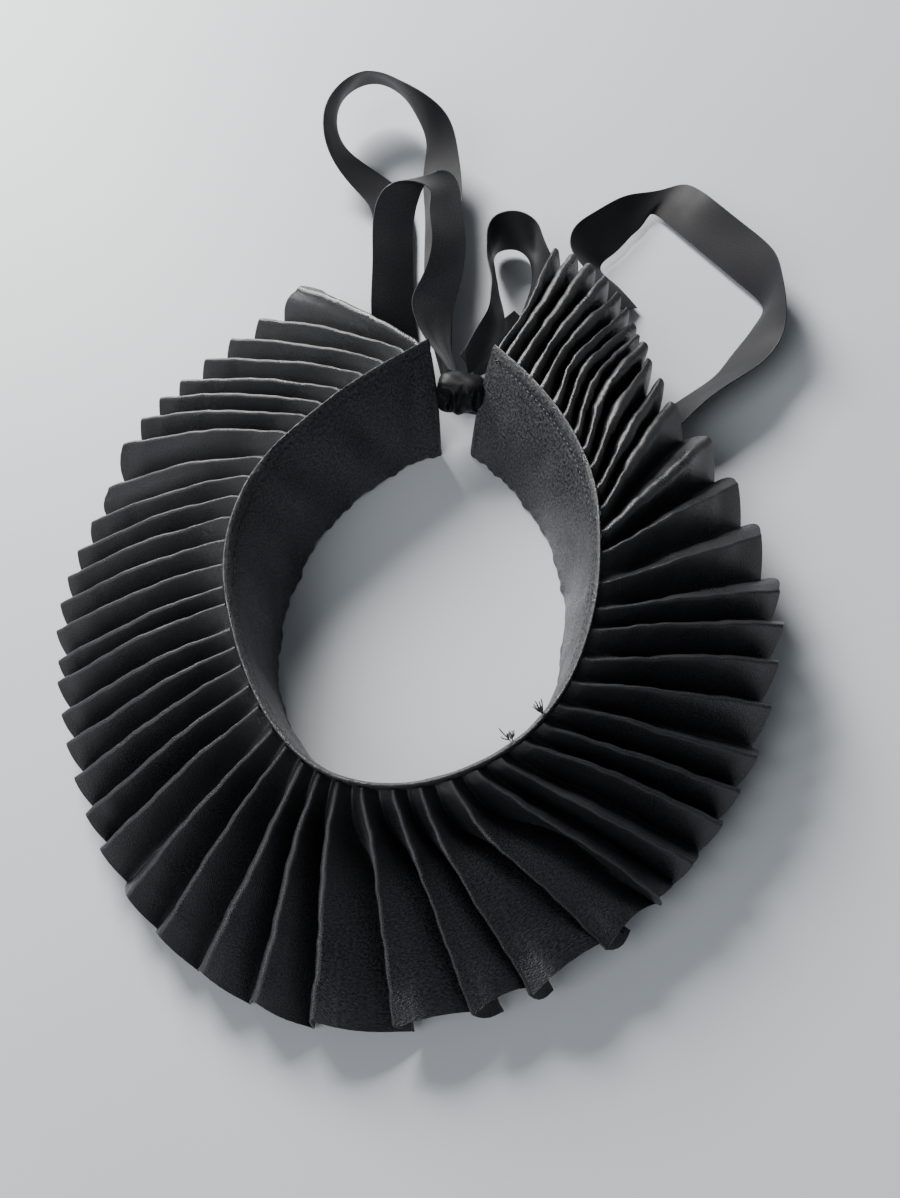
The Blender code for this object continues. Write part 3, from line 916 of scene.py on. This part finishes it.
def ribbon(
    name, node_name, rows, count, cup, seed, gather=0.55,
    material=RIBBON_SATIN,
):
    rng = np.random.default_rng(seed)
    low, high = ribbon_edges(rows, count)
    middle = (low + high) / 2
    along = np.concatenate(
        [[0], np.cumsum(np.linalg.norm(np.diff(middle, axis=0), axis=1))]
    )
    travel = unit(np.gradient(middle, axis=0))
    across = high - low
    normal = unit(np.cross(travel, across))
    share = np.linspace(0, 1, 11)
    width = np.linalg.norm(across, axis=1)
    gathered = np.clip((19.5 - width) / 9, 0, 1)
    phases = rng.uniform(0, 6.28, 4)
    grid, uv = [], []
    for k, q in enumerate(share):
        belly = cup * math.sin(math.pi * q)
        ripple = (
            0.22 * np.sin(along / 9.0 + phases[0] + 2.0 * q)
            + 0.16 * np.sin(along / 4.3 + phases[1] - 3.0 * q)
        ) * math.sin(math.pi * q)
        # a narrowed stretch is gathered into lengthwise folds
        folds = gathered * gather * math.cos(2 * 2 * math.pi * q + phases[2])
        grid.append(low + across * q + normal * (belly + ripple + folds)[:, None])
        uv.append(np.stack([np.full(count, q * 20.0), along], 1))
    grid = np.array(grid).transpose(1, 0, 2)
    grid[..., 2] = np.maximum(grid[..., 2], 0.35)
    piece = shell(
        name, grid, RIBBON, material, np.array(uv).transpose(1, 0, 2)
    )
    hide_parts(node_name)
    return grid, along


def picots(name, grids):
    """The woven edges: a close row of tiny loops of thread down each side."""
    verts, faces = [], []
    shape = np.array(
        [(1, 0, 0), (-1, 0, 0), (0, 1, 0), (0, -1, 0), (0, 0, 1), (0, 0, -1)], float
    )
    tris = [
        (0, 2, 4), (2, 1, 4), (1, 3, 4), (3, 0, 4),
        (2, 0, 5), (1, 2, 5), (3, 1, 5), (0, 3, 5),
    ]
    for grid in grids:
        for edge, beside in ((0, 1), (-1, -2)):
            line, inward = grid[:, edge], grid[:, beside] - grid[:, edge]
            run = np.concatenate(
                [[0], np.cumsum(np.linalg.norm(np.diff(line, axis=0), axis=1))]
            )
            for at in np.arange(0.5, run[-1], 0.8):
                p = np.array([np.interp(at, run, c) for c in line.T])
                into = unit(np.array([np.interp(at, run, c) for c in inward.T]))
                q = np.array([np.interp(at + 0.2, run, c) for c in line.T])
                travel = unit(q - p + 1e-6)
                third = np.cross(into, travel)
                p = p + into * 0.25
                start = len(verts)
                for x, y, z in shape:
                    corner = p + into * x * 0.42 + travel * y * 0.27 + third * z * 0.36
                    corner[2] = max(corner[2], 0.05)
                    verts.append(corner)
                faces += [tuple(start + k for k in f) for f in tris]
    return make(name, verts, faces, SELVAGE)


# ------------------------------------------------------------------ knot
# Folds on the front of the knot, as lines in x and z from its middle (mm), with
# how far each stands proud (or sinks in) and how broad it is.
KNOT_FOLDS = (
    (((-1.9, 5.6), (-1.7, 1.5), (-2.0, -1.8), (-3.2, -3.4), (-4.5, -2.6), (-5.1, -0.4)), 1.25, 0.55),
    (((-3.0, 4.6), (-3.0, 0.5), (-3.5, -1.6), (-4.1, -1.2)), -1.5, 0.65),
    (((5.4, 6.4), (4.6, 3.0), (4.9, -0.5), (6.4, -3.0)), 0.8, 0.6),
    (((3.6, 6.6), (2.6, 2.0), (0.6, -3.5), (-1.0, -7.0)), 0.6, 1.5),
    (((6.6, 5.5), (5.9, 2.5), (6.6, 0.2)), -1.0, 0.6),
    (((1.2, 7.4), (0.0, 3.0), (-0.6, -1.5), (-2.6, -6.5)), -0.7, 0.9),
    (((7.2, -2.5), (3.5, -4.4), (0.5, -7.6)), -0.6, 0.9),
    (((-7.4, 3.5), (-5.2, 2.5), (-4.6, 5.5)), -0.5, 0.8),
)


def from_line(x, z, line):
    best = 99.0
    for (ax, az), (bx, bz) in zip(line[:-1], line[1:]):
        dx, dz = bx - ax, bz - az
        f = min(max(((x - ax) * dx + (z - az) * dz) / (dx * dx + dz * dz), 0), 1)
        best = min(best, math.hypot(x - ax - f * dx, z - az - f * dz))
    return best


def knot():
    """Ribbon gathered round itself between the two ends of the band."""
    around, rings = 150, 74
    half = [k / 2 for k in KNOT_SIZE]
    verts, faces, uvs = [], [], []
    for i in range(rings + 1):
        v = math.pi * (0.02 + 0.96 * i / rings)
        x = -math.copysign(abs(math.cos(v)) ** 0.8, math.cos(v)) * half[0] * 1.22
        girth = math.sin(v) ** 0.35
        waist = 1 - 0.17 * math.exp(-(((x - 3.4) / 2.2) ** 2))
        for j in range(around):
            w = 2 * math.pi * j / around
            c, d = math.cos(w), math.sin(w)
            soft = (abs(c) ** 3.4 + abs(d) ** 3.4) ** (-1 / 3.4)
            y, z = c * soft * girth * half[1] * 0.86, d * soft * girth * half[2] * 0.97
            if z < 0:
                z *= waist
            wrap = 0.25 * math.sin(3 * w + 0.5 * x) + 0.18 * math.sin(7 * w - 0.8 * x)
            y, z = y + c * wrap * 0.8, z + d * wrap * 0.4
            if y < 0:
                proud = sum(
                    h * math.exp(-((from_line(x, z, line) / b) ** 2))
                    for line, h, b in KNOT_FOLDS
                )
                y -= proud * min(1, -y / 3.0)
            y = min(max(y, -half[1] - 0.5), half[1])
            verts.append((KNOT_AT[0] + 0.4 + x, KNOT_AT[1] + y, KNOT_AT[2] + 0.6 + z))
            uvs.append((20.0 * j / around, 14.0 * i / rings))
    for i in range(rings):
        for j in range(around):
            k = (j + 1) % around
            faces.append(
                (i * around + j, i * around + k, (i + 1) * around + k, (i + 1) * around + j)
            )
    faces.append(tuple(reversed(range(around))))
    faces.append(tuple(rings * around + j for j in range(around)))
    # the knot wears the darkest copy of the ribbon satin, painted shade
    body = make("knot_ribbon", verts, faces, KNOT_PAINTED_SHADE, uvs)
    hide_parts("tie_knot")


def loose_threads():
    """Ends of the sewing thread left at the seam, and the tack at the right end."""
    rng = np.random.default_rng(21)
    paths = []
    for place in (0.600, 0.630):
        u = ALONG[-1] * place
        root = on_band(u, 1.0, 0.3)
        for k in range(10):
            way = rng.uniform(-1, 1, 3)
            lean = np.array([-0.6 + 0.5 * way[0], 0.5 + 0.5 * way[1], 0.9 + 0.3 * way[2]])
            size = rng.uniform(1.6, 4.2)
            bend = rng.uniform(-1, 1, 3)
            start = root + np.array([way[1], way[0], 0]) * 0.8
            paths.append(
                [start + lean * size * f + bend * 1.1 * math.sin(2.4 * f) * f for f in np.linspace(0, 1, 7)]
            )
    tubes("loose_threads", paths, 0.19, THREAD, sides=5)
    tack = on_band(ALONG[-1] - 5.0, 0.93, 0.1)
    loops = []
    for k in range(5):
        w = k * 1.25
        loops.append(
            [tack + np.array([0.9 * math.cos(w + a), -0.35 * math.sin(a), 0.9 * math.sin(w + a)]) * 0.8 for a in np.linspace(0, 3.4, 7)]
        )
    tubes("tack_stitch", loops, 0.28, THREAD, sides=6)


# ------------------------------------------------------------------ build
frill()
band()
band_stitches()
# the left bow loop wears a lighter copy of the ribbon satin, painted light; the far loop and the tail a
# darker copy, painted shade
laid = []
laid.append(
    ribbon(
        "ribbon_bow_left", "bow_loop_left", LOOP_LEFT, 150, 0.5, 3,
        0.3, RIBBON_PAINTED_LIGHT,
    )[0]
)
laid.append(
    ribbon(
        "ribbon_loop_far", "tie_loop_far", LOOP_FAR, 260, 0.35, 4,
        material=RIBBON_PAINTED_SHADE,
    )[0]
)
laid.append(
    ribbon(
        "ribbon_bow_right", "bow_loop_right", LOOP_RIGHT, 130, 0.3, 5,
        0.12,
    )[0]
)
laid.append(
    ribbon(
        "ribbon_stretch", "tie_stretch", STRETCH, 50, 0.5, 6,
        0.12,
    )[0]
)
laid.append(
    ribbon(
        "ribbon_tail", "tie_tail", TAIL, 240, 0.3, 8,
        material=RIBBON_PAINTED_SHADE,
    )[0]
)
picots("ribbon_edges", laid)
knot()
loose_threads()


# ------------------------------------------------------------------ stage
def floor():
    m, t, shader = nodes_of("pale_table")
    place = node(t, "ShaderNodeTexCoord")
    cloud = node(t, "ShaderNodeTexNoise", Scale=3.0, Detail=4.0, Roughness=0.5)
    t.links.new(place.outputs["Object"], cloud.inputs["Vector"])
    colour = ramp(
        t, cloud.outputs["Fac"], ((0.3, (0.58, 0.61, 0.64)), (0.7, (0.64, 0.67, 0.70)))
    )
    t.links.new(colour, shader.inputs["Base Color"])
    shader.inputs["Roughness"].default_value = 0.55
    mesh = bpy.data.meshes.new("floor")
    mesh.from_pydata([(-4, -4, 0), (4, -4, 0), (4, 4, 0), (-4, 4, 0)], [], [(0, 1, 2, 3)])
    mesh.materials.append(m)
    obj = bpy.data.objects.new("floor", mesh)
    bpy.context.scene.collection.objects.link(obj)
    obj.location.z = -0.0003


def area_light(name, at, aim, size, energy, colour):
    data = bpy.data.lights.new(name, "AREA")
    data.shape = "RECTANGLE"
    data.size, data.size_y = size
    data.energy = energy
    data.color = colour
    obj = bpy.data.objects.new(name, data)
    bpy.context.scene.collection.objects.link(obj)
    obj.location = at
    obj.rotation_euler = (Vector(aim) - Vector(at)).to_track_quat("-Z", "Y").to_euler()
    return obj


floor()
area_light("window", (-0.84, 1.0, 0.84), (0, 0, 0), (0.62, 0.62), 58.0, (1.0, 0.985, 0.96))
area_light("room", (-0.85, -1.15, 1.25), (0, 0, 0), (1.1, 1.1), 19.0, (0.95, 0.97, 1.0))
world = bpy.data.worlds.new("room_light")
world.use_nodes = True
sky = world.node_tree.nodes["Background"]
sky.inputs["Color"].default_value = (0.86, 0.92, 1.0, 1)
sky.inputs["Strength"].default_value = 0.14
bpy.context.scene.world = world

camera_data = bpy.data.cameras.new("camera")
camera_data.lens = 36.06
camera_data.sensor_width = 36.0
camera_data.clip_start = 0.01
camera = bpy.data.objects.new("camera", camera_data)
bpy.context.scene.collection.objects.link(camera)
camera.location = (0.04667, -0.28647, 0.37006)
aim = Vector((0.0097, -0.0582, 0.0))
camera.rotation_euler = (aim - camera.location).to_track_quat("-Z", "Y").to_euler()
bpy.context.scene.camera = camera
